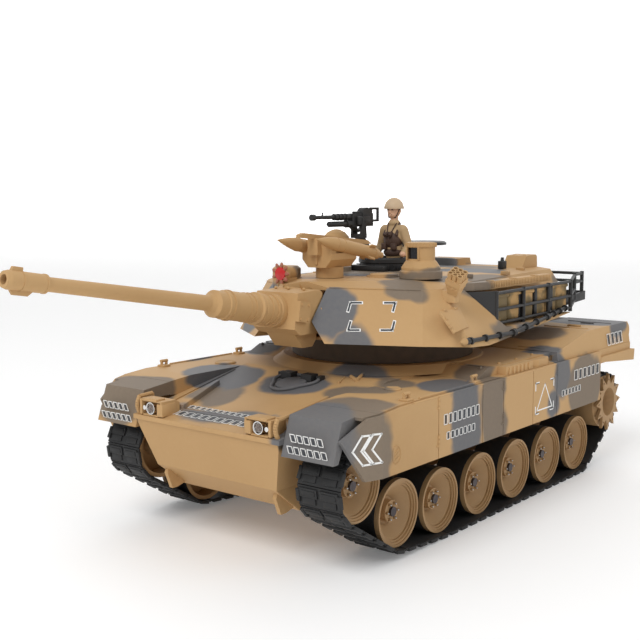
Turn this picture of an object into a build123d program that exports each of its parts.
from build123d import *
import os
from math import atan2, cos, degrees, hypot, radians, sin

# Radio-controlled model battle tank. Millimetres, +Z up, the tank faces -Y, its own left is +X.
# The origin is on the ground below the middle of the overall length.

# ---- overall -------------------------------------------------------------------------------
skirt_x = 100.0            # half width, outside of the side skirts
tail_y = 238.0             # rear end of the hull
clearance = 0.3            # gap between pieces that pass each other

# ---- running gear --------------------------------------------------------------------------
wheel_r = 19.0
wheel_in_x = 63.0
wheel_out_x = 85.0
wheel_pitch = 45.2
wheel_2_y = -8.7           # second road wheel; the others stand behind it at the pitch
wheel_count = 6
wheel_1_ahead = 42.6       # first wheel's distance ahead of the second
wheel_1_lift = 2.8
idler_y, idler_z = -88.3, 46.9
sprocket_y, sprocket_z = 210.0, 46.4
track_in_x = 60.5
track_out_x = 90.0
band_t = 1.3               # track belt
pad_t = 1.0                # pads standing out of the belt
pad_w = 7.6                # length of a pad along the track
track_pitch = 11.0
axle_r = 2.0
bearing_gap = 0.06         # radial clearance on the axles
hub_r = 6.2
rim_steps = ((17.7, 0.0), (16.5, 0.9), (15.4, 1.9), (14.6, 3.0))    # inner radius, depth
dish_depth = 5.0           # hub face below the edge of the rim
dish_floor = 9.5           # deepest ring of the dish
tooth_count = 12
tooth_tip_r = 21.2
tooth_root_r = 13.4
tooth_ring_t = 2.2
sprocket_hole_r = 10.4

wheel_z = pad_t + band_t + clearance + wheel_r
loop_r = wheel_r + clearance                      # inside of the track round every wheel
wheel_places = [(wheel_2_y - wheel_1_ahead, wheel_z + wheel_1_lift)]
wheel_places += [(wheel_2_y + i * wheel_pitch, wheel_z) for i in range(wheel_count - 1)]
star_x = track_out_x + clearance                  # inner face of the toothed ring
sprocket_face_x = star_x - 14                     # floor of the sprocket's cone

# ---- hull ----------------------------------------------------------------------------------
wall = 2.0
tub_x = 50.0               # half width of the tub between the tracks
tub_z = 27.0               # underside
split_z = 70.0             # joint between tub and upper hull
bow_y = -117.0             # front edge of the bow
bow_top_x = 55.0
bow_low_x = 45.0
bow_low_y = -88.0
stern_y = 218.0            # foot of the rear plate
fender_z = 79.0            # underside of the sponsons, above the track
sponson_in_x = 56.0
sponson_x = 98.0
sponson_z = 89.0           # top of the front sponsons
deck_z = 90.0
engine_z = 102.0           # engine deck
box_z = 104.0              # top of the raised rear sponsons
roll_r = 7.0               # rounded rear edge
shelf_x = 92.0             # edge of the raised middle sponsons
shelf_z = 94.3
shelf_front_y, shelf_rear_y = 19.0, 114.0
rise_end_y = 165.0
lip_z = 72.5               # front lip of the upper hull
glacis_top_y = -21.0
guard_y = -88.0            # hinge line of the front mudguards
guard_low_z = 64.3
guard_out_x = 90.0
guard_t = 1.6
ring_foot_r = 73.0
ring_top_r = 66.0
ring_z = 95.0
skirt_t = 1.6
skirt_low_z = 53.8
skirt_top_z = 88.2
skirt_end_y = 177.0
bay_x, bay_front_y, bay_rear_y = 23.0, 60.0, 134.0          # battery bay in the floor
switch_x, switch_y, switch_travel = 36.0, 20.0, 4.0
post_r, screw_r, screw_head_r = 3.4, 1.1, 2.6
post_places = ((40.0, -62.0), (44.0, 28.0), (40.0, 150.0))

# ---- turret --------------------------------------------------------------------------------
turret_y = 52.0            # slewing axis
neck_r = 38.0
neck_gap = 0.08
disc_r = 60.0
turret_low_z = 108.0
roof_z = 146.0
turret_tail_y = 184.0
slot_x = 17.0              # half width of the gun slot
trunnion_y, trunnion_z = -22.0, 125.0
trunnion_r = 3.0
gun_lift = 9.3             # degrees, rest elevation of the gun
gun_reach = 218.0          # trunnion to muzzle
rack_low_z, rack_top_z = 115.0, 138.0
rack_front_y, rack_front_x = 61.0, 80.0
rack_rear_y, rack_rear_x = 181.0, 74.0
basket_y = 217.0           # rear end of the basket rails
rail_r = 1.1
post_r_rack = 1.4
pin_r = 4.0               # spigots of the launcher and the sight
hatch_x, hatch_y, hatch_r = 14.0, 34.0, 11.0
launcher_x, launcher_y = -9.0, 7.0
missile_lift = 10.4        # degrees
missile_r = 4.2
missile_length = 69.5
sight_x, sight_y = 42.3, 34.0
cupola_x, cupola_y = -25.0, 94.0
cupola_r = 20.0
cupola_z = 155.0
mg_x, mg_y, mg_z = -30.0, 66.0, 180.0      # elevating axis of the machine gun
pintle_y = 77.0            # its mount turns on the cupola's ring
man_x, man_y = -18.5, 92.0
figure_z = 197.0           # top of the helmet

os.makedirs("parts", exist_ok=True)


def save(builder, name):
    """Label a finished piece and write it."""
    builder.part.label = name
    export_step(builder.part, f"parts/{name}.step")


def side_plane(x):
    """Plane across the tank at x, drawn with Y to the right and Z up."""
    return Plane(origin=(x, 0, 0), x_dir=(0, 1, 0), z_dir=(1, 0, 0))


def front_plane(y):
    """Plane along the tank at y, drawn with X to the right and Z up, facing forward."""
    return Plane(origin=(0, y, 0), x_dir=(1, 0, 0), z_dir=(0, -1, 0))


def block(x0, x1, y0, y1, z0, z1, mode=Mode.ADD):
    """Box between two corners."""
    with Locations(((x0 + x1) / 2, (y0 + y1) / 2, (z0 + z1) / 2)):
        Box(abs(x1 - x0), abs(y1 - y0), abs(z1 - z0), mode=mode)


def slab(x0, x1, outline, mode=Mode.ADD):
    """Side outline (y, z) extruded between two widths."""
    with BuildSketch(side_plane(min(x0, x1))) as face:
        Polygon(*outline, align=None)
    extrude(face.sketch, amount=abs(x1 - x0), mode=mode)


def panel(z0, z1, outline, mode=Mode.ADD):
    """Plan outline (x, y) extruded between two heights."""
    with BuildSketch(Plane.XY.offset(z0)) as face:
        Polygon(*outline, align=None)
    extrude(face.sketch, amount=z1 - z0, mode=mode)


def turned(spot, direction, outline, mode=Mode.ADD):
    """Outline (distance, radius) revolved about the line from spot along direction."""
    across = (1, 0, 0) if not direction[0] else (0, 0, 1)
    with BuildSketch(Plane(origin=spot, x_dir=direction, z_dir=across)) as face:
        Polygon(*outline, align=None)
    revolve(face.sketch, axis=Axis(spot, direction), mode=mode)


def rod(start, end, radius, mode=Mode.ADD):
    """Round bar between two points."""
    reach = [b - a for a, b in zip(start, end)]
    length = hypot(*reach)
    with BuildSketch(Plane(origin=start, z_dir=reach)) as face:
        Circle(radius)
    extrude(face.sketch, amount=length, mode=mode)


def wheel_plane(side, x, y, z):
    """Plane on a wheel's face, facing away from the hull."""
    return Plane(origin=(side * x, y, z), x_dir=(0, 1, 0), z_dir=(side, 0, 0))


def turning_plane(side, y, z):
    """Plane through a wheel's axle: distance from the middle to the right, radius up."""
    return Plane(origin=(0, y, z), x_dir=(side, 0, 0), z_dir=(0, -side, 0))


# ---- road wheels, idlers and sprockets -------------------------------------------------------
def make_wheel(name, side, y, z):
    """Dished wheel: stepped rim, cone, hub with six nuts, hollow back and running bore."""
    bore = axle_r + bearing_gap
    hub_x = wheel_out_x - dish_depth
    with BuildPart() as wheel:
        with BuildSketch(turning_plane(side, y, z)):
            with BuildLine():
                points = [(wheel_in_x, bore), (wheel_in_x, wheel_r), (wheel_out_x, wheel_r)]
                for i, (inner_r, step) in enumerate(rim_steps):
                    if i:
                        points.append((wheel_out_x - step, rim_steps[i - 1][0]))
                    points.append((wheel_out_x - step, inner_r))
                points += [(wheel_out_x - dish_floor, hub_r + 1.5), (wheel_out_x - dish_floor, hub_r),
                           (hub_x, hub_r), (hub_x, bore)]
                Polyline(*points, close=True)
            make_face()
        revolve(axis=Axis((0, y, z), (1, 0, 0)))
        with BuildSketch(wheel_plane(side, hub_x, y, z)):
            with PolarLocations(4.7, 6):
                RegularPolygon(0.9, 6)
        extrude(amount=1.1)
        with BuildSketch(wheel_plane(side, wheel_in_x, y, z)):
            Circle(wheel_r - 2.4)
            Circle(hub_r, mode=Mode.SUBTRACT)
        extrude(amount=wheel_out_x - dish_floor - 2 - wheel_in_x, mode=Mode.SUBTRACT)
    save(wheel, name)


def star_outline():
    """Tips and roots of the toothed ring."""
    points = []
    for i in range(tooth_count):
        for radius, part in ((tooth_tip_r, 0.0), (tooth_root_r, 0.5)):
            angle = radians((i + part) * 360 / tooth_count)
            points.append((radius * cos(angle), radius * sin(angle)))
    return points


def make_sprocket(name, side):
    """Drum inside the track, a hollow cone, and a star ring just outside the track's edge."""
    bore = axle_r + bearing_gap
    with BuildPart() as sprocket:
        with BuildSketch(turning_plane(side, sprocket_y, sprocket_z)):
            with BuildLine():
                Polyline((wheel_in_x, bore), (wheel_in_x, wheel_r), (star_x - 2, wheel_r),
                         (star_x, tooth_root_r - 0.6), (star_x + tooth_ring_t, tooth_root_r - 0.6),
                         (star_x + tooth_ring_t, sprocket_hole_r), (sprocket_face_x, 5.0),
                         (sprocket_face_x, bore), close=True)
            make_face()
        revolve(axis=Axis((0, sprocket_y, sprocket_z), (1, 0, 0)))
        with BuildSketch(wheel_plane(side, star_x, sprocket_y, sprocket_z)):
            Polygon(*star_outline(), align=None)
            Circle(sprocket_hole_r, mode=Mode.SUBTRACT)
            with PolarLocations(16.6, tooth_count):
                RegularPolygon(1.3, 3, mode=Mode.SUBTRACT)
        extrude(amount=tooth_ring_t)
    save(sprocket, name)


for side, side_name in ((1, "left"), (-1, "right")):
    for i, (y, z) in enumerate(wheel_places):
        make_wheel(f"road_wheel_{side_name}_{i + 1}", side, y, z)
    make_wheel(f"idler_{side_name}", side, idler_y, idler_z)
    make_sprocket(f"sprocket_{side_name}", side)


# ---- tracks: a closed rubber belt with pads, round all the wheels of one side ----------------
with BuildSketch() as loop_inside:
    Polygon((idler_y, idler_z), *wheel_places, (sprocket_y, sprocket_z), align=None)
    offset(amount=loop_r, kind=Kind.ARC)
with BuildSketch() as loop_belt:
    add(loop_inside.sketch)
    offset(amount=band_t, kind=Kind.ARC)
belt_edge = loop_belt.sketch.faces()[0].outer_wire()
pad_count = round(belt_edge.length / track_pitch)


def make_track(name, side):
    """Belt with evenly spaced pads, extruded across the track's width."""
    with BuildPart() as track:
        with BuildSketch(side_plane(min(side * track_in_x, side * track_out_x))):
            add(loop_belt.sketch)
            for i in range(pad_count):
                spot = belt_edge.position_at(i / pad_count)
                lean = belt_edge.tangent_at(i / pad_count)
                turn = degrees(atan2(lean.Y, lean.X))
                with Locations(Location((spot.X, spot.Y, 0), (0, 0, turn))):
                    Rectangle(pad_w, 2 * pad_t)
            add(loop_inside.sketch, mode=Mode.SUBTRACT)
        extrude(amount=track_out_x - track_in_x)
    save(track, name)


for side, side_name in ((1, "left"), (-1, "right")):
    make_track(f"track_{side_name}", side)


# ---- axles: steel stubs pressed into the tub, each with a screw head that keeps its wheel ----
stub_x = tub_x - wall - 3
axle_ends = [(y, z, wheel_out_x - dish_depth + 0.1, 2.7) for y, z in wheel_places]
axle_ends += [(idler_y, idler_z, wheel_out_x - dish_depth + 0.1, 2.7),
              (sprocket_y, sprocket_z, sprocket_face_x + 0.1, 3.6)]
with BuildPart() as wheel_axles:
    for side in (1, -1):
        for y, z, end_x, head_r in axle_ends:
            with BuildSketch(wheel_plane(side, stub_x, y, z)):
                Circle(axle_r)
            extrude(amount=end_x - stub_x)
            with BuildSketch(wheel_plane(side, end_x, y, z)):
                Circle(head_r)
            extrude(amount=1.5)
save(wheel_axles, "wheel_axles")


# ---- lower hull: moulded tub between the tracks ----------------------------------------------
nose_end_y = bow_low_y + 6
bow_line = [(bow_low_y, tub_z), (-108, 42.5), (bow_y + 1, split_z)]
with BuildPart() as lower_hull:
    with BuildSketch(side_plane(-bow_top_x)):
        Polygon(*bow_line, (nose_end_y, split_z), (nose_end_y, tub_z), align=None)
    extrude(amount=2 * bow_top_x)
    with BuildSketch(front_plane(nose_end_y)):
        Polygon((-bow_low_x, tub_z), (bow_low_x, tub_z), (bow_low_x + 1, 42.5),
                (bow_top_x, split_z), (-bow_top_x, split_z), (-bow_low_x - 1, 42.5), align=None)
    extrude(amount=nose_end_y - bow_y, mode=Mode.INTERSECT)
    with BuildSketch(side_plane(-tub_x)):
        Polygon((nose_end_y, tub_z), (nose_end_y, split_z), (stern_y + 8, split_z), (stern_y, 44),
                (stern_y - 14, tub_z), align=None)
    extrude(amount=2 * tub_x)
    # hollow of the tub and of the nose, open at the top
    with BuildSketch(side_plane(-tub_x + wall)):
        Polygon((nose_end_y - 0.5, tub_z + wall), (nose_end_y - 0.5, split_z + 1),
                (stern_y + 6, split_z + 1), (stern_y - wall, 45), (stern_y - 15, tub_z + wall),
                align=None)
    extrude(amount=2 * (tub_x - wall), mode=Mode.SUBTRACT)
    with BuildSketch(side_plane(-bow_low_x + wall)):
        Polygon((bow_low_y + 2, tub_z + wall), (-105.4, 43), (bow_y + 3.2, split_z + 1),
                (nose_end_y, split_z + 1), (nose_end_y, tub_z + wall), align=None)
    extrude(amount=2 * (bow_low_x - wall), mode=Mode.SUBTRACT)
    # battery bay and switch slot
    with BuildSketch(Plane.XY.offset(tub_z - 1)):
        with Locations((0, (bay_front_y + bay_rear_y) / 2)):
            Rectangle(2 * bay_x, bay_rear_y - bay_front_y)
        with Locations((switch_x, switch_y)):
            Rectangle(4.0, 5.0 + switch_travel + 1)
    extrude(amount=wall + 2, mode=Mode.SUBTRACT)
    # holes for the axle stubs
    for side in (1, -1):
        for y, z, _, _ in axle_ends:
            with BuildSketch(wheel_plane(side, stub_x, y, z)):
                Circle(axle_r)
            extrude(amount=12, mode=Mode.SUBTRACT)
    # pillars for the circuit board
    with BuildSketch(Plane.XY.offset(tub_z + wall)):
        with Locations((27, -52), (-27, -52), (27, -20), (-27, -20)):
            Circle(2.5)
    extrude(amount=12)
    # screw holes
    for x, y in post_places:
        for side in (1, -1):
            with BuildSketch(Plane.XY.offset(tub_z - 1)):
                with Locations((side * x, y)):
                    Circle(screw_r + 0.2)
            extrude(amount=wall + 2, mode=Mode.SUBTRACT)
save(lower_hull, "lower_hull")

with BuildPart() as hull_screws:
    with BuildSketch(Plane.XY.offset(tub_z - 1.2)):
        for x, y in post_places:
            with Locations((x, y), (-x, y)):
                Circle(screw_head_r)
    extrude(amount=1.2)
    with BuildSketch(Plane.XY.offset(tub_z)):
        for x, y in post_places:
            with Locations((x, y), (-x, y)):
                Circle(screw_r)
    extrude(amount=12)
save(hull_screws, "hull_screws")


# ---- upper hull: one moulded shell with glacis, sponsons, engine deck and turret ring -------
def deck_profile(inset):
    """Side outline of the middle of the upper hull, inset by a wall."""
    rear = tail_y - 4 - inset
    top = engine_z - inset
    deck = deck_z - inset
    slope = (deck_z - lip_z) / (glacis_top_y - bow_y)
    front = bow_y + 1.5 * inset
    return [(front, split_z - inset / 2), (front, lip_z - inset + slope * (front - bow_y)),
            (glacis_top_y, deck), (100, deck), (150, top), (rear, top), (rear, 76),
            (stern_y + 8 - 1.4 * inset, split_z - inset / 2)]


with BuildPart() as upper_hull:
    with BuildSketch(side_plane(-sponson_in_x)):
        Polygon(*deck_profile(0), align=None)
    extrude(amount=2 * sponson_in_x)
    # sponsons over the tracks: flat front part, raised shelf, slope and rear box
    for side in (1, -1):
        with BuildSketch(side_plane(min(side * sponson_in_x, side * sponson_x))):
            Polygon((guard_y, fender_z), (guard_y, sponson_z - 1.6), (-70, sponson_z),
                    (tail_y - 4, sponson_z), (tail_y - 4, fender_z), align=None)
        extrude(amount=sponson_x - sponson_in_x)
        with BuildSketch(side_plane(min(side * (sponson_in_x - 8), side * shelf_x))):
            Polygon((shelf_front_y, sponson_z), (shelf_front_y + 12, shelf_z),
                    (shelf_rear_y + 6, shelf_z), (shelf_rear_y + 6, sponson_z), align=None)
        extrude(amount=shelf_x - sponson_in_x + 8)
        with BuildSketch(front_plane(tail_y - 4)):
            Polygon((side * 48, sponson_z), (side * sponson_x, sponson_z - 3),
                    (side * (sponson_x - 2.5), box_z), (side * 48, box_z), align=None)
        extrude(amount=tail_y - 4 - shelf_rear_y)
    # slope of the rear boxes
    with BuildSketch(side_plane(-sponson_x - 1)):
        Polygon((shelf_rear_y - 1, shelf_z + 0.6), (shelf_rear_y, shelf_z + 0.6),
                (rise_end_y, box_z), (rise_end_y, box_z + 5), (shelf_rear_y - 1, box_z + 5),
                align=None)
    extrude(amount=2 * sponson_x + 2, mode=Mode.SUBTRACT)
    # rounded rear edge and the fender over the sprockets
    with BuildSketch(side_plane(-sponson_x + 2.5)):
        with Locations((tail_y - roll_r, box_z - roll_r)):
            Circle(roll_r)
    extrude(amount=2 * sponson_x - 5)
    for side in (1, -1):
        with BuildSketch(side_plane(min(side * sponson_in_x, side * skirt_x))):
            Polygon((skirt_end_y + 0.6, sponson_z - 5), (skirt_end_y + 0.6, 80.5),
                    (tail_y - 1, 75.3), (tail_y, 83.5), (tail_y - 6, sponson_z - 5), align=None)
        extrude(amount=skirt_x - sponson_in_x)
    # foot of the turret ring
    with Locations((0, turret_y, (deck_z + ring_z) / 2)):
        Cone(ring_foot_r, ring_top_r, ring_z - deck_z)
    # hollow of the middle and of the sponsons, open below
    with BuildSketch(side_plane(-tub_x + wall)):
        Polygon(*deck_profile(wall), align=None)
    extrude(amount=2 * (tub_x - wall), mode=Mode.SUBTRACT)
    for side in (1, -1):
        inner_x = sponson_in_x + wall
        for outer_x, outline in (
                (sponson_x - wall, [(guard_y + wall, fender_z - 1), (guard_y + wall, sponson_z - 4),
                                    (-69, sponson_z - wall), (shelf_rear_y, sponson_z - wall),
                                    (shelf_rear_y, fender_z - 1)]),
                (sponson_x - 2.5 - wall, [(shelf_rear_y - 1, fender_z - 1),
                                          (shelf_rear_y - 1, shelf_z - wall),
                                          (rise_end_y + 2, box_z - wall),
                                          (tail_y - 9, box_z - wall),
                                          (tail_y - 9, fender_z - 5)])):
            with BuildSketch(side_plane(min(side * inner_x, side * outer_x))):
                Polygon(*outline, align=None)
            extrude(amount=outer_x - inner_x, mode=Mode.SUBTRACT)
    # pillars for the screws from below
    for x, y in post_places:
        for side in (1, -1):
            with BuildSketch(Plane.XY.offset(tub_z + wall)):
                with Locations((side * x, y)):
                    Circle(post_r)
                    Circle(screw_r, mode=Mode.SUBTRACT)
            extrude(until=Until.NEXT)
    # hole for the turret's neck
    with BuildSketch(Plane.XY.offset(deck_z - wall - 1)):
        with Locations((0, turret_y)):
            Circle(neck_r + neck_gap)
    extrude(amount=ring_z, mode=Mode.SUBTRACT)
    # slots of the engine grille in the rear plate
    for x in (-30, -10, 10, 30):
        for i in range(4):
            block(x - 9, x + 9, tail_y - 7, tail_y - 3, 80.2 + i * 2.4, 81.4 + i * 2.4,
                  mode=Mode.SUBTRACT)
save(upper_hull, "upper_hull")


def glacis(y):
    """Height of the sloping bow deck."""
    return lip_z + (deck_z - lip_z) / (glacis_top_y - bow_y) * (y - bow_y)


def bow(y):
    """Height of the lower bow plate."""
    return tub_z + (bow_low_y - y) / 20 * 15.5


# ---- outside of the hull ---------------------------------------------------------------------
for side, side_name in ((1, "left"), (-1, "right")):
    with BuildPart() as skirt:
        slab(side * 80, side * skirt_x,
             [(-98, skirt_low_z), (-112, 76.1), (-95.8, 85.8), (-70.8, 88.0), (-60, skirt_top_z),
              (skirt_end_y, skirt_top_z), (skirt_end_y, skirt_low_z)])
        # the front panel turns inward, towards the mudguard
        panel(skirt_low_z - 1, skirt_top_z + 1,
              [(side * x, y) for x, y in ((sponson_x, skirt_end_y), (skirt_x, skirt_end_y),
                                          (skirt_x, guard_y), (skirt_x - 14, guard_y - 42),
                                          (sponson_x - 14, guard_y - 42), (sponson_x, guard_y))],
              mode=Mode.INTERSECT)
        for seam_y in (-35.2, 12.3, 37.0, 75.2, 108.6):
            block(side * (skirt_x - 0.5), side * (skirt_x + 1), seam_y - 0.3, seam_y + 0.3,
                  skirt_low_z - 1, skirt_top_z + 1, mode=Mode.SUBTRACT)
    save(skirt, f"skirt_{side_name}")

    with BuildPart() as mudguard:
        slab(side * sponson_in_x, side * guard_out_x,
             [(guard_y, 87.3), (-108.5, 85), (-115.6, guard_low_z), (-114, guard_low_z),
              (-107.3, 83.4), (guard_y, 85.6)])
        for rib_x in (sponson_in_x, guard_out_x - guard_t):
            slab(side * rib_x, side * (rib_x + guard_t),
                 [(guard_y, 87.3), (-108.5, 85), (-115.6, guard_low_z), (-111.5, guard_low_z),
                  (-105, 79), (guard_y, 79.5)])
        slab(side * guard_out_x, side * (sponson_x - clearance),
             [(guard_y, 87.3), (-98, 86.2), (-98, 84.6), (guard_y, 85.6)])
        panel(60, 90, [(side * x, y) for x, y in ((sponson_x - clearance, guard_y),
                                                  (sponson_x - clearance - 8.2, guard_y - 24.6),
                                                  (110, guard_y - 24.6), (110, guard_y))],
              mode=Mode.SUBTRACT)
    save(mudguard, f"mudguard_{side_name}")

with BuildPart() as headlight_brackets:
    for side in (1, -1):
        slab(side * 33, side * 49, [(-112, glacis(-112)), (-103, glacis(-103)), (-103, 80),
                                    (-106, 82), (-112, 82)])
        slab(side * 33, side * 49, [(-112, 81), (-116.5, 81), (-117, 82), (-112, 82)])
        slab(side * 32, side * 33, [(-116, 73), (-112, glacis(-112)), (-103, glacis(-103)),
                                    (-103, 80), (-106, 82), (-117, 82)])
save(headlight_brackets, "headlight_brackets")

with BuildPart() as headlight_lamps:
    for side in (1, -1):
        turned((side * 41.4, -112, 77.4), (0, -1, 0),
               [(0, 0), (0, 2.6), (2.5, 3.5), (5, 3.5), (5, 3.0), (4, 2.4), (4, 0)])
        turned((side * 46.9, -112, 77.2), (0, -1, 0), [(0, 0), (0, 1.3), (4.4, 1.3), (4.4, 0)])
save(headlight_lamps, "headlight_lamps")

with BuildPart() as tow_lugs:
    for side in (1, -1):
        slab(side * 40.8, side * 43.4, [(-91, bow(-91)), (-104.5, bow(-104.5)), (-105.4, 37.2),
                                        (-101.5, 27.6), (-97.5, 27.6)])
    for side in (1, -1):
        block(side * 24, side * 34, tail_y - 4, tail_y - 1.5, 78.6, 80.0)
        slab(side * 28, side * 31, [(stern_y + 8 * 20 / 26, 64), (stern_y + 8, split_z), (stern_y + 13, 66)])
save(tow_lugs, "tow_lugs")

with BuildPart() as periscopes:
    for side in (1, -1):
        slab(side * 4, side * 12, [(-38, glacis(-38)), (-31, glacis(-31)), (-31, glacis(-31) + 3.2),
                                   (-37.4, glacis(-38) + 4.4)])
        slab(side * 13.5, side * 16.5, [(-35, glacis(-35)), (-30, glacis(-30)),
                                        (-30, glacis(-30) + 2.2), (-34.6, glacis(-35) + 3)])
save(periscopes, "periscopes")

with BuildPart() as tool_boxes:
    for side in (1, -1):
        panel(sponson_z, 94.0, [(side * shelf_x, 44), (side * (sponson_x - 0.4), 44),
                                (side * (sponson_x - 0.4), 79), (side * shelf_x, 79)])
        panel(sponson_z, 93.4, [(side * shelf_x, 83), (side * (sponson_x - 3), 83),
                                (side * (sponson_x - 0.4), 87), (side * (sponson_x - 0.4), 100),
                                (side * (sponson_x - 3), 104), (side * shelf_x, 104)])
        for rib_y in range(48, 78, 5):
            block(side * (sponson_x - 0.5), side * (sponson_x + 0.4), rib_y - 0.8, rib_y + 0.8,
                  sponson_z, 93.2)
save(tool_boxes, "tool_boxes")


# ---- inside of the hull ----------------------------------------------------------------------
with BuildPart() as battery_pack:
    block(-bay_x + 1, bay_x - 1, bay_front_y + 2, bay_rear_y - 2, 32, 46)
save(battery_pack, "battery_pack")

with BuildPart() as battery_door:
    block(-bay_x + clearance, bay_x - clearance, bay_front_y + clearance,
          bay_rear_y - clearance, tub_z, tub_z + wall)
    for i in range(5):
        block(-12, 12, bay_rear_y - 16 + i * 2.4, bay_rear_y - 15 + i * 2.4, tub_z - 1,
              tub_z + 0.6, mode=Mode.SUBTRACT)
save(battery_door, "battery_door")

with BuildPart() as circuit_board:
    block(-32, 32, -58, -14, tub_z + wall + 12, tub_z + wall + 13.6)
    for x, y, w, d, h in ((-14, -40, 12, 12, 2), (12, -44, 9, 7, 1.6), (18, -24, 14, 8, 7),
                          (-20, -22, 10, 6, 5), (0, -20, 5, 5, 8)):
        block(x - w / 2, x + w / 2, y - d / 2, y + d / 2, tub_z + wall + 13.6,
              tub_z + wall + 13.6 + h)
save(circuit_board, "circuit_board")

gearbox_line = [(172, tub_z + wall), (202, tub_z + wall), (214, 44), (214, 60), (172, 60)]
with BuildPart() as drive_gearboxes:
    for side in (1, -1):
        slab(side * 16, side * (tub_x - wall), gearbox_line)
        rod((side * stub_x, sprocket_y, sprocket_z), (side * (tub_x + 1), sprocket_y, sprocket_z),
            axle_r, mode=Mode.SUBTRACT)
save(drive_gearboxes, "drive_gearboxes")

with BuildPart() as drive_motors:
    for side in (1, -1):
        rod((side * 26, 142, 40), (side * 26, 172, 40), 8)
        rod((side * 26, 139.5, 40), (side * 26, 142, 40), 3)
save(drive_motors, "drive_motors")

with BuildPart() as power_switch:
    block(switch_x - 4, switch_x + 4, switch_y - 5, switch_y + 1, tub_z + wall + 0.1,
          tub_z + wall + 1.6)
    block(switch_x - 1.8, switch_x + 1.8, switch_y - 4.6, switch_y + 0.4, tub_z - 0.8,
          tub_z + wall + 0.2)
save(power_switch, "power_switch")


# ---- turret: armoured shell bounded by flat plates -------------------------------------------
plates = [((72.5, -9.6, 109.9), (1117.6, -1391, 1082.6)),     # cheeks
          ((72.5, -9.6, 109.9), (581, -470, 435)),            # facets behind them
          ((91.5, 30, 108), (4013, 260, 2757)),               # sides
          ((45, 0, roof_z), (3, 0, 27)),                      # edges of the roof
          ((18, -27.7, 143.1), (177.3, -179.2, 983.6))]       # front of the roof
middle_plates = [((0, 30, 108.2), (0, -0.054, -1)), ((0, 40, 108.2), (0, 0.05, -1)),
                 ((0, 0, roof_z), (0, 0, 1)), ((0, turret_tail_y, 0), (0, 1, 0))]
all_plates = middle_plates + plates + [((-p[0], p[1], p[2]), (-n[0], n[1], n[2]))
                                       for p, n in plates]


def armour(inset):
    """Convex body between all plates, moved inward by the inset."""
    with BuildPart() as body:
        block(-95, 95, -60, 195, 100, 160)
        for spot, out in all_plates:
            size = hypot(*out)
            inner = [s - inset * o / size for s, o in zip(spot, out)]
            split(bisect_by=Plane(origin=inner, z_dir=out), keep=Keep.BOTTOM)
    return body.part


stowage_x = 66.0
stowage_line = [(stowage_x, 36), (98, 93.6), (98, 200), (stowage_x, 200)]
with BuildPart() as turret_shell:
    add(armour(0))
    for side in (1, -1):
        panel(rack_low_z, 160, [(side * x, y) for x, y in stowage_line], mode=Mode.SUBTRACT)
    with BuildPart(mode=Mode.PRIVATE) as hollow:
        add(armour(wall))
        block(-slot_x - wall, slot_x + wall, -60, -8, 100, 160, mode=Mode.SUBTRACT)
        slab(-30, 30, [(-60, 100), (-24, 100), (-24, 116), (-60, 122)], mode=Mode.SUBTRACT)
        for side in (1, -1):
            panel(100, 160, [(side * (x - wall), y - wall if x < 90 else y)
                             for x, y in stowage_line], mode=Mode.SUBTRACT)
    add(hollow.part, mode=Mode.SUBTRACT)
    # opening for the ring below, slot for the gun, bearing for its trunnions
    rod((0, turret_y, 100), (0, turret_y, 120), disc_r, mode=Mode.SUBTRACT)
    with BuildSketch(front_plane(-28)) as mouth:
        Polygon((-31, 105), (31, 105), (27.5, 112.1), (slot_x, 124.4), (slot_x, 160),
                (-slot_x, 160), (-slot_x, 124.4), (-27.5, 112.1), align=None)
    extrude(mouth.sketch, amount=40, mode=Mode.SUBTRACT)
    block(-slot_x, slot_x, -29, -10, 113, 141.5, mode=Mode.SUBTRACT)
    rod((-slot_x - 5, trunnion_y, trunnion_z), (slot_x + 5, trunnion_y, trunnion_z),
        trunnion_r + bearing_gap, mode=Mode.SUBTRACT)
    for x, y in ((launcher_x, launcher_y), (sight_x, sight_y)):
        rod((x, y, roof_z - 5), (x, y, roof_z + 5), pin_r + bearing_gap, mode=Mode.SUBTRACT)
    # round hatch plate on the roof
    rod((hatch_x, hatch_y, roof_z - 1), (hatch_x, hatch_y, roof_z + 0.8), hatch_r)
save(turret_shell, "turret_shell")

with BuildPart() as turret_ring:
    turned((0, turret_y, 0), (0, 0, 1),
           [(85.4, neck_r - 3), (85.4, neck_r + 4), (deck_z - wall - clearance, neck_r + 4),
            (deck_z - wall - clearance, neck_r), (ring_z + clearance, neck_r),
            (ring_z + clearance, disc_r), (114, disc_r), (114, disc_r - 2), (99, disc_r - 2),
            (99, neck_r - 3)])
save(turret_ring, "turret_ring")

with BuildPart() as turret_motor:
    rod((28, turret_y + 10, 99), (28, turret_y + 10, 126), 9)
    rod((12, turret_y + 10, 99), (12, turret_y + 10, 108), 11)
save(turret_motor, "turret_motor")


# ---- turret: racks, basket and fittings ------------------------------------------------------
def rack_x(y):
    """Outer line of the side racks."""
    return rack_front_x + (rack_rear_x - rack_front_x) * (y - rack_front_y) / (rack_rear_y - rack_front_y)


bag_ends = [63.0, 84.0, 104.0, 123.0, 143.0, 162.0, 181.0]
with BuildPart() as stowage_bags:
    for side in (1, -1):
        for y0, y1 in zip(bag_ends, bag_ends[1:]):
            panel(rack_low_z, rack_top_z - 2,
                  [(side * stowage_x, y0 + 0.4), (side * (rack_x(y0) - 3), y0 + 0.4),
                   (side * (rack_x(y0) - 1.6), y0 + 4), (side * (rack_x(y1) - 1.6), y1 - 4),
                   (side * (rack_x(y1) - 3), y1 - 0.4), (side * stowage_x, y1 - 0.4)])
save(stowage_bags, "stowage_bags")

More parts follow.
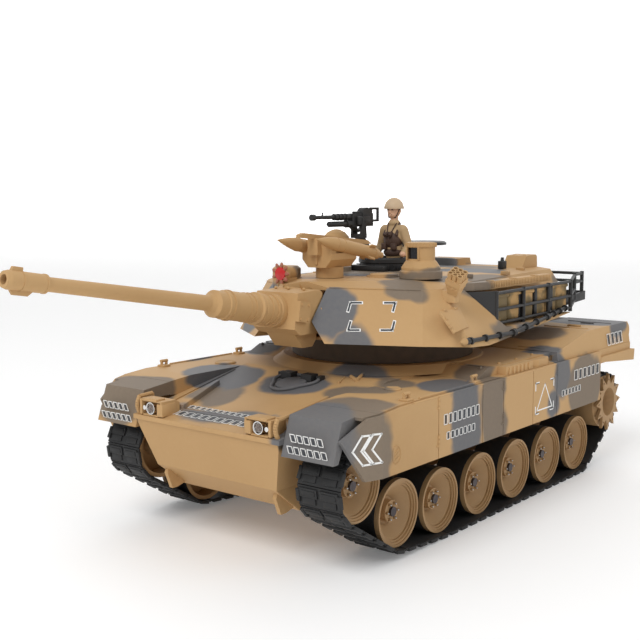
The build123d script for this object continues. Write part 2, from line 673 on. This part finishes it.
with BuildPart() as basket_rails:
    for side in (1, -1):
        # front plate of the rack, posts, side rails
        panel(rack_low_z, rack_top_z,
              [(side * stowage_x, 36), (side * rack_front_x, 61.2), (side * (rack_front_x - 1.4), 62),
               (side * stowage_x, 39.3)])
        for y in (62.5, 102, 142, 181):
            rod((side * rack_x(y), y, rack_low_z), (side * rack_x(y), y, rack_top_z), post_r_rack)
        for z in (rack_low_z + 2.4, 126.0, rack_top_z - 1.5):
            rod((side * rack_x(62.5), 62.5, z), (side * rack_x(181), 181, z), rail_r)
            rod((side * rack_x(181), 181, z), (side * 68, 200, z + 3.4), rail_r)
        for z in (134.2, 139.9):
            rod((side * 68, 200, z), (side * 66, basket_y, z), rail_r)
            rod((side * 66, basket_y, z), (0, basket_y, z), rail_r)
        for x, y in ((68, 200), (66, basket_y), (22, basket_y)):
            rod((side * x, y, 121.5), (side * x, y, 141.6), post_r_rack)
        slab(side * 67, side * 69, [(turret_tail_y, 118.5), (basket_y, 120.5), (basket_y, 127),
                                    (turret_tail_y, 124)])
    add(turret_shell.part, mode=Mode.SUBTRACT)
    block(-68, 68, basket_y - 1, basket_y + 1, 120.5, 127)
    block(-68, 68, turret_tail_y, basket_y, 120.5, 122)
    for x in range(-56, 57, 16):
        block(x - 5, x + 5, turret_tail_y + 6, basket_y - 5, 120, 123, mode=Mode.SUBTRACT)
save(basket_rails, "basket_rails")

with BuildPart() as bustle_roof:
    for side in (1, -1):
        panel(rack_top_z + 0.6, 143.4,
              [(side * stowage_x, 44), (side * 71, 50), (side * 74, 62), (side * 72.5, 153),
               (side * stowage_x, 153)])
    slab(30, 46, [(160, roof_z), (167, 154.5), (181, 155), (183, 153.5), (183.4, roof_z)])
    slab(-38, -10, [(160, roof_z), (163, 151), (182, 151), (turret_tail_y, roof_z)])
save(bustle_roof, "bustle_roof")

envelope = armour(0)
rod_line = [(89.8, 13, 112.5), (88.0, 70, 111.7), (81.2, 130, 115.8), (77.0, 166, 118.6)]
with BuildPart() as cleaning_rod:
    for start, end in zip(rod_line, rod_line[1:]):
        rod(start, end, 1.3)
        for part in (0.02, 0.34, 0.66, 0.98):
            spot = [a + (b - a) * part for a, b in zip(start, end)]
            stop = [a + (b - a) * (part + 0.03) for a, b in zip(start, end)]
            rod(spot, stop, 2.3)
    rod((89.8, 13, 112.5), (89.6, 8.5, 112.8), 1.9)
    add(envelope, mode=Mode.SUBTRACT)
    add(turret_shell.part, mode=Mode.SUBTRACT)
    add(basket_rails.part, mode=Mode.SUBTRACT)
save(cleaning_rod, "cleaning_rod")

with BuildPart() as smoke_launchers:
    for side in (1,):
        aim = Plane(origin=(side * 77, 17, 139), x_dir=(0, -0.9, -0.37), z_dir=(side * 0.36, -0.34, 0.86))
        with BuildSketch(aim) as body:
            RectangleRounded(13, 13, 2)
        extrude(body.sketch, amount=15)
        with BuildSketch(aim.offset(11)) as tubes:
            with GridLocations(4, 4, 3, 3):
                Circle(1.45)
        extrude(tubes.sketch, amount=10, mode=Mode.SUBTRACT)
        block(side * 64, side * 77, 13, 22, 133, 139)
    add(envelope, mode=Mode.SUBTRACT)
save(smoke_launchers, "smoke_launchers")

with BuildPart() as spotlight:
    turned((-24, -23, 149.6), (0, 1, 0), [(0, 0), (0, 5.0), (3, 5.4), (5, 4.0), (12, 4.0), (12, 0)])
    block(-28, -20, -21, -12, 141, 147)
    turned((-32, -8, 140), (0, 0, 1), [(0, 0), (0, 9), (12, 9), (13.5, 7), (13.5, 0)])
    add(envelope, mode=Mode.SUBTRACT)
save(spotlight, "spotlight")

with BuildPart() as spotlight_lens:
    turned((-24, -23, 149.6), (0, -1, 0), [(0, 0), (0, 4.2), (0.8, 4.0), (1.6, 0)])
save(spotlight_lens, "spotlight_lens")

with BuildPart() as roof_dome:
    turned((-45, 60, roof_z), (0, 0, 1), [(0, 0), (0, 10.5), (3, 10.5), (4, 8), (19, 8),
                                          (20, 9.5), (24, 8.8), (27, 6.2), (28.8, 2.5), (29.2, 0)])
save(roof_dome, "roof_dome")

with BuildPart() as cupola_ring:
    turned((cupola_x, cupola_y, roof_z), (0, 0, 1),
           [(0, cupola_r - 4.5), (0, cupola_r), (5, cupola_r), (5.6, cupola_r + 0.8),
            (8, cupola_r + 0.8), (9, cupola_r), (9, cupola_r - 4.5)])
    for angle in range(0, 360, 45):
        spot = (cupola_x + (cupola_r - 1) * cos(radians(angle)),
                cupola_y + (cupola_r - 1) * sin(radians(angle)))
        block(spot[0] - 2.6, spot[0] + 2.6, spot[1] - 2.6, spot[1] + 2.6, roof_z, roof_z + 4.4)
    rod((mg_x, pintle_y, cupola_z - 4), (mg_x, pintle_y, cupola_z + 1), 1.2 + bearing_gap,
        mode=Mode.SUBTRACT)
    # knuckle of the lid behind the ring
    block(cupola_x - 4, cupola_x + 4, cupola_y + cupola_r - 2, cupola_y + cupola_r + 4, roof_z, 153)
    rod((cupola_x - 5, cupola_y + cupola_r + 3, 156), (cupola_x + 5, cupola_y + cupola_r + 3, 156), 1.5)
    block(cupola_x - 4, cupola_x + 4, cupola_y + cupola_r + 2, cupola_y + cupola_r + 4, 152, 156)
save(cupola_ring, "cupola_ring")

with BuildPart() as hatch_lid:
    turned((cupola_x, cupola_y + cupola_r + 22.0, 162.2), (0, 0, 1),
           [(0, 0), (0, 19), (1.6, 19), (2.6, 17.5), (2.6, 0)])
    for x in (-7, 7):
        slab(cupola_x + x - 1.8, cupola_x + x + 1.8,
             [(cupola_y + cupola_r + 1, 156), (cupola_y + cupola_r + 5, 154.8),
              (cupola_y + cupola_r + 10, 162.4), (cupola_y + cupola_r + 5.4, 163.4)])
        rod((cupola_x + x - 1.8, cupola_y + cupola_r + 3, 156),
            (cupola_x + x + 1.8, cupola_y + cupola_r + 3, 156), 2.6)
    rod((cupola_x - 8.8, cupola_y + cupola_r + 3, 156), (cupola_x + 8.8, cupola_y + cupola_r + 3, 156),
        1.5 + bearing_gap, mode=Mode.SUBTRACT)
save(hatch_lid, "hatch_lid")


# ---- gun -------------------------------------------------------------------------------------
lift = radians(gun_lift)
aim_y, aim_z = -cos(lift), sin(lift)


def gun_point(reach, above):
    """Side position (y, z) at a distance along the gun and a height above its axis."""
    return (trunnion_y + reach * aim_y + above * aim_z, trunnion_z + reach * aim_z - above * aim_y)


with BuildPart() as gun_mantlet:
    slab(-16, 16, [gun_point(34, 11.2), (-34, 142.3), (-31.5, 140.5), (-31.5, 117), (-52, 117),
                   gun_point(34, -9.9)])
    slab(-11, 11, [(-52, 118), (-31.5, 118), (-31.5, 112.5), (-35, 108.3), (-44, 108.3)])
    rod((-16.5, trunnion_y, trunnion_z), (16.5, trunnion_y, trunnion_z), 11.3)
    rod((-slot_x - wall + 0.2, trunnion_y, trunnion_z), (slot_x + wall - 0.2, trunnion_y, trunnion_z),
        trunnion_r)
    for side in (1, -1):
        slab(side * 16, side * 18.4, [gun_point(34, 7), gun_point(24, 7), gun_point(24, -5),
                                      gun_point(34, -5)])
save(gun_mantlet, "gun_mantlet")

with BuildPart() as gun_barrel:
    turned((0, trunnion_y, trunnion_z), (0, aim_y, aim_z),
           [(34, 0), (34, 9.9), (38, 9.9), (38.6, 9.0), (49, 9.0), (49.6, 9.5), (51, 9.5), (51.4, 9.0),
            (51.8, 9.5), (53.2, 9.5), (54, 8.2), (79, 8.2), (79.6, 7.6), (86, 7.6), (87.5, 5.6),
            (90, 4.3), (196, 3.45), (196.3, 4.5), (gun_reach - 2, 4.5), (gun_reach, 3.9),
            (gun_reach, 2.4), (gun_reach - 20, 2.4), (gun_reach - 20, 0)])
    slab(-1, 1, [gun_point(gun_reach - 9, 4), gun_point(gun_reach - 9, 6.3),
                 gun_point(gun_reach - 4, 6.3), gun_point(gun_reach - 3, 4)])
    slab(-0.7, 0.7, [gun_point(gun_reach - 16, -4), gun_point(gun_reach - 13, -6.6),
                     gun_point(gun_reach - 5, -6.6), gun_point(gun_reach - 3, -4)])
save(gun_barrel, "gun_barrel")


# ---- missile launcher ------------------------------------------------------------------------
fall = (0, cos(radians(missile_lift)), -sin(radians(missile_lift)))
missile_line = [(0, 0), (6, 1.8), (12, 3.2), (18, missile_r), (missile_length - 10, missile_r),
                (missile_length - 5, 3.2), (missile_length - 5, 2.2), (missile_length, 2.0),
                (missile_length, 0)]
with BuildPart() as missiles:
    for x, y, z in ((2.0, -20.5, 171.4), (-20.0, -31.0, 171.0)):
        turned((x, y, z), fall, missile_line)
        for turn in (45, 135, 225, 315):
            out = (sin(radians(turn)), cos(radians(turn)))
            tail = Plane(origin=(x, y + 47 * fall[1], z + 47 * fall[2]), x_dir=fall,
                         z_dir=(out[1], -out[0] * fall[2], out[0] * fall[1]))
            with BuildSketch(tail) as fin:
                Polygon((0, 0), (5, 6.4), (10, 6.4), (10, 0), align=None)
            extrude(fin.sketch, amount=0.4, both=True)
save(missiles, "missiles")

with BuildPart() as launcher_head:
    rod((launcher_x, launcher_y, roof_z - wall), (launcher_x, launcher_y, roof_z + 1), pin_r)
    rod((launcher_x, launcher_y, roof_z + clearance), (launcher_x, launcher_y, 153), 8.8)
    block(launcher_x - 9.5, launcher_x - 6, launcher_y - 1.5, launcher_y + 1.5, roof_z + clearance, 153)
    with BuildSketch(front_plane(20)) as head:
        Polygon((-16, 153), (-2, 153), (2.5, 158), (2.5, 162), (-20.5, 162), (-20.5, 158), align=None)
    extrude(head.sketch, amount=26)
    slab(-13, -5, [(-10, 161), (-10, 171.6), (22, 168.6), (22, 161)])
    slab(-10.5, -7.5, [(-24, 172.2), (-24, 174), (-20, 175), (46, 168.6), (50, 166.2), (46, 166)])
    slab(-20, 2, [(-6, 161.5), (-6, 170), (0, 169.5), (0, 161.5)])
    slab(-20, 2, [(12, 161.5), (12, 166), (18, 165.5), (18, 161.5)])
    add(missiles.part, mode=Mode.SUBTRACT)
save(launcher_head, "launcher_head")


# ---- sight -----------------------------------------------------------------------------------
with BuildPart() as sight_head:
    rod((sight_x, sight_y, roof_z - wall), (sight_x, sight_y, roof_z + 1), pin_r)
    turned((sight_x, sight_y, roof_z), (0, 0, 1),
           [(clearance, 0), (clearance, 13.4), (4.6, 13.4), (5.4, 12.2), (7, 12.2), (11, 9.6),
            (11.6, 8.8), (20, 8.8), (20, 9.4), (22, 9.4), (22.6, 8.4), (22.6, 0)])
    block(sight_x - 4.2, sight_x + 3.2, sight_y - 10, sight_y - 6.2, 158.5, 165.5,
          mode=Mode.SUBTRACT)
save(sight_head, "sight_head")

with BuildPart() as sight_window:
    block(sight_x - 4.2, sight_x + 3.2, sight_y - 7.0, sight_y - 6.2, 158.5, 165.5)
save(sight_window, "sight_window")


# ---- machine gun -----------------------------------------------------------------------------
with BuildPart() as mg_mount:
    rod((mg_x, pintle_y, cupola_z - 3), (mg_x, pintle_y, cupola_z + 6), 1.2)
    rod((mg_x, pintle_y, cupola_z + clearance), (mg_x, pintle_y, cupola_z + 4), 2.1)
    slab(mg_x - 1.5, mg_x + 1.5, [(79, 158), (79, 161), (69, 172), (63, 172), (63, 169), (66, 168),
                                  (75, 158)])
    block(mg_x - 4.8, mg_x + 4.8, 63, 69, 169, 171.5)
    for side in (1, -1):
        slab(mg_x + side * 3.0, mg_x + side * 4.8, [(63, 170), (64, 182.6), (68, 182.6), (69, 170)])
    rod((mg_x - 6, mg_y, mg_z), (mg_x + 6, mg_y, mg_z), 1.4 + bearing_gap, mode=Mode.SUBTRACT)
save(mg_mount, "mg_mount")

with BuildPart() as machine_gun:
    block(mg_x - 2.2, mg_x + 2.2, 56, 80, 177, 186)
    rod((mg_x - 4.6, mg_y, mg_z), (mg_x + 4.6, mg_y, mg_z), 1.4)
    rod((mg_x - 2.7, 72, 185), (mg_x + 2.7, 72, 185), 5)
    turned((mg_x, 57, 183.7), (0, -1, 0), [(0, 0), (0, 1.8), (16, 1.8), (16, 2.2), (19, 2.2), (19, 1.4),
                                           (39.5, 1.2), (39.5, 2.1), (42.5, 2.1), (42.5, 0)])
    turned((mg_x, 57, 179), (0, -1, 0), [(0, 0), (0, 2.6), (6, 2.6), (6, 1.9), (24, 1.9), (25, 1.4), (25, 0)])
    block(mg_x - 0.7, mg_x + 0.7, 79, 89, 180, 190)
    block(mg_x - 2, mg_x + 2, 81, 87.4, 181.6, 188.4, mode=Mode.SUBTRACT)
save(machine_gun, "machine_gun")


# ---- commander -------------------------------------------------------------------------------
with BuildPart() as commander_body:
    with BuildSketch(Plane.XY.offset(roof_z)) as feet:
        with Locations((man_x, man_y)):
            Ellipse(8.5, 6)
    with BuildSketch(Plane.XY.offset(160)) as waist:
        with Locations((man_x, man_y)):
            Ellipse(7.5, 5.5)
    with BuildSketch(Plane.XY.offset(172)) as chest:
        with Locations((man_x, man_y)):
            Ellipse(9.0, 6.2)
    with BuildSketch(Plane.XY.offset(180)) as collar:
        with Locations((man_x, man_y)):
            Ellipse(3.6, 3.4)
    loft(sections=[feet.sketch, waist.sketch, chest.sketch, collar.sketch])
    for side in (1, -1):
        elbow = (man_x + side * 12.0, man_y + 1, 163)
        hand = (man_x + side * 12.0, man_y - 5, 158.0)
        shoulder = (man_x + side * 7.6, man_y, 174)
        rod(shoulder, elbow, 3.2)
        rod(elbow, hand, 2.6)
        for spot, size in ((shoulder, 3.6), (elbow, 3.2), (hand, 2.7)):
            with Locations(spot):
                Sphere(size)
    block(man_x - 4.5, man_x + 4.5, man_y - 9, man_y - 4.5, 168, 172.5)
    rod((man_x, man_y, 176), (man_x, man_y, 183), 2.8)
save(commander_body, "commander_body")

with BuildPart() as commander_head:
    with Locations((man_x, man_y - 0.5, 188)):
        Sphere(5.4)
    with Locations((man_x, man_y, 189.8)):
        Sphere(figure_z - 189.8)
    block(man_x - 9, man_x + 9, man_y - 9, man_y + 9, 180, 188.8, mode=Mode.SUBTRACT)
    with Locations((man_x, man_y - 0.5, 188)):
        Sphere(5.4)
    rod((man_x, man_y, 176), (man_x, man_y, 183), 2.8, mode=Mode.SUBTRACT)
save(commander_head, "commander_head")
